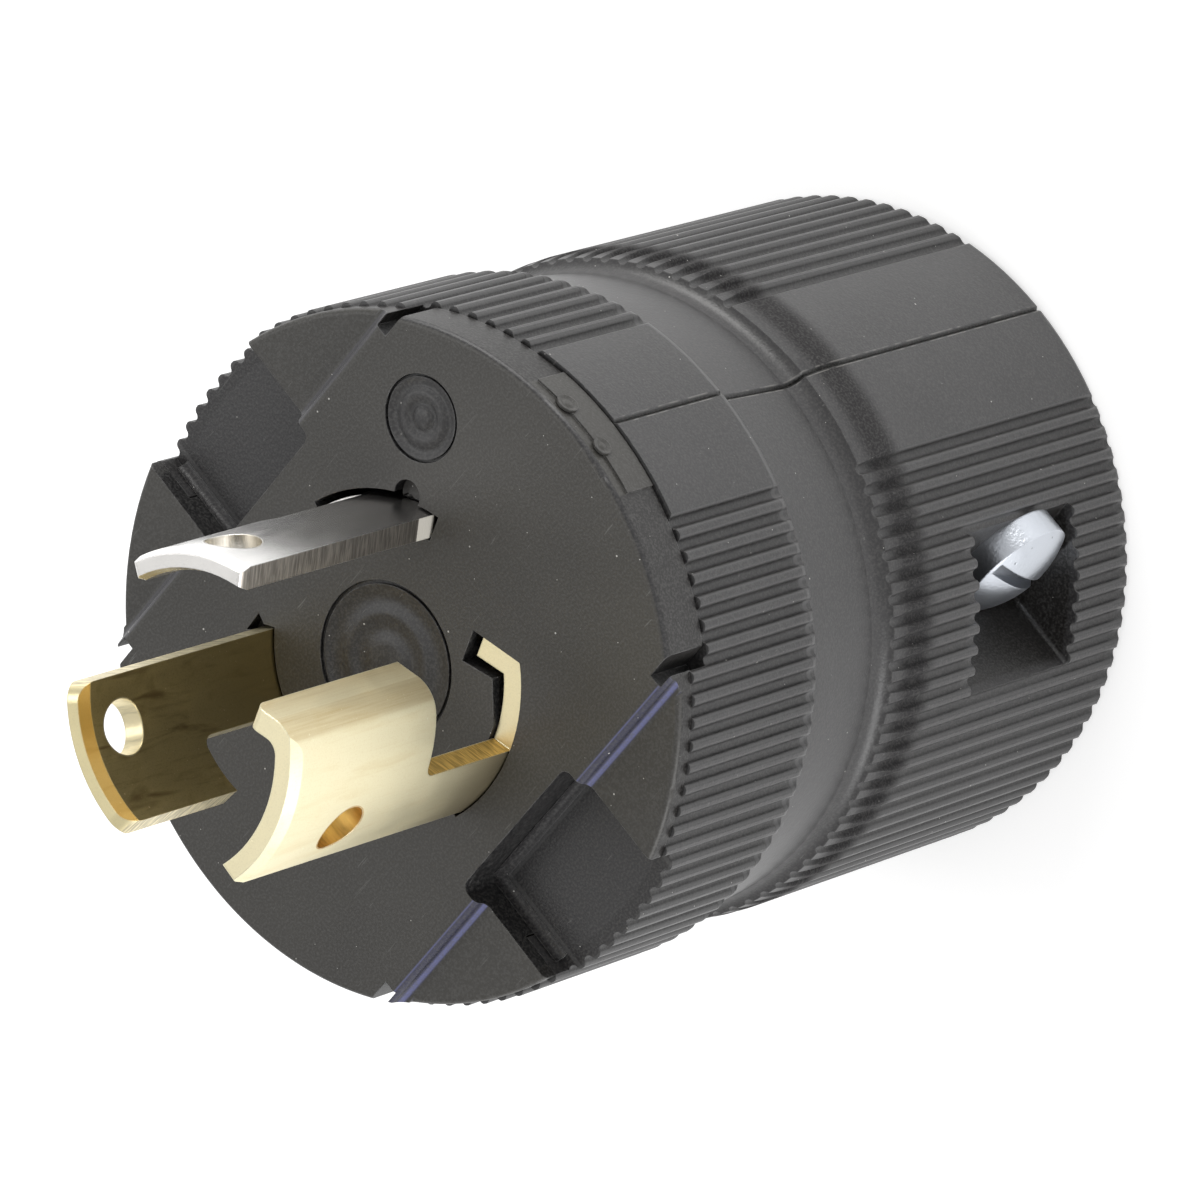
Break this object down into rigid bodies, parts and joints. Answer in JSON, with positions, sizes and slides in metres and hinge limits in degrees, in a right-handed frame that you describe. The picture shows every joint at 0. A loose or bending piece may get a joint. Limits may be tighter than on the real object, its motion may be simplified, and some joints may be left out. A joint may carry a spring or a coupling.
{
  "type": "locking power plug",
  "caption": "Round ribbed locking power plug with a split nylon body, curved twist-lock blades in nickel and brass, and an open cord end.",
  "frame": {"origin": "centre of the flat rear end, at the mouth of the cord bore", "axes": "+Z along the plug from the cord end to the blades; X in the joint plane of the two halves; Y square to that plane"},
  "size_m": [0.038, 0.038, 0.0617],
  "materials": {
    "housing_nylon": "black nylon, satin, moulded ribs",
    "core_nylon": "black nylon, satin, slightly dusty face",
    "nickel_plate": "nickel plated brass, bright",
    "blade_brass": "bare brass, satin",
    "terminal_brass": "bare brass",
    "green_steel": "green finish on steel",
    "zinc_steel": "clear zinc plated steel"
  },
  "bodies": {
    "root": {"face_core": "core_nylon", "core_retainer": "core_nylon", "housing_half_a": "housing_nylon", "housing_half_b": "housing_nylon", "neutral_blade": "nickel_plate", "line_blade": "blade_brass", "ground_blade": "blade_brass", "neutral_terminal_screw": "zinc_steel", "line_terminal_screw": "terminal_brass", "ground_terminal_screw": "green_steel", "neutral_clamp_plate": "zinc_steel", "line_clamp_plate": "zinc_steel", "ground_clamp_plate": "zinc_steel", "neutral_terminal_nut": "zinc_steel", "line_terminal_nut": "zinc_steel", "ground_terminal_nut": "zinc_steel", "assembly_screw_a": "zinc_steel", "assembly_screw_b": "zinc_steel", "assembly_nut_a": "zinc_steel", "assembly_nut_b": "zinc_steel"}
  },
  "joints": []
}
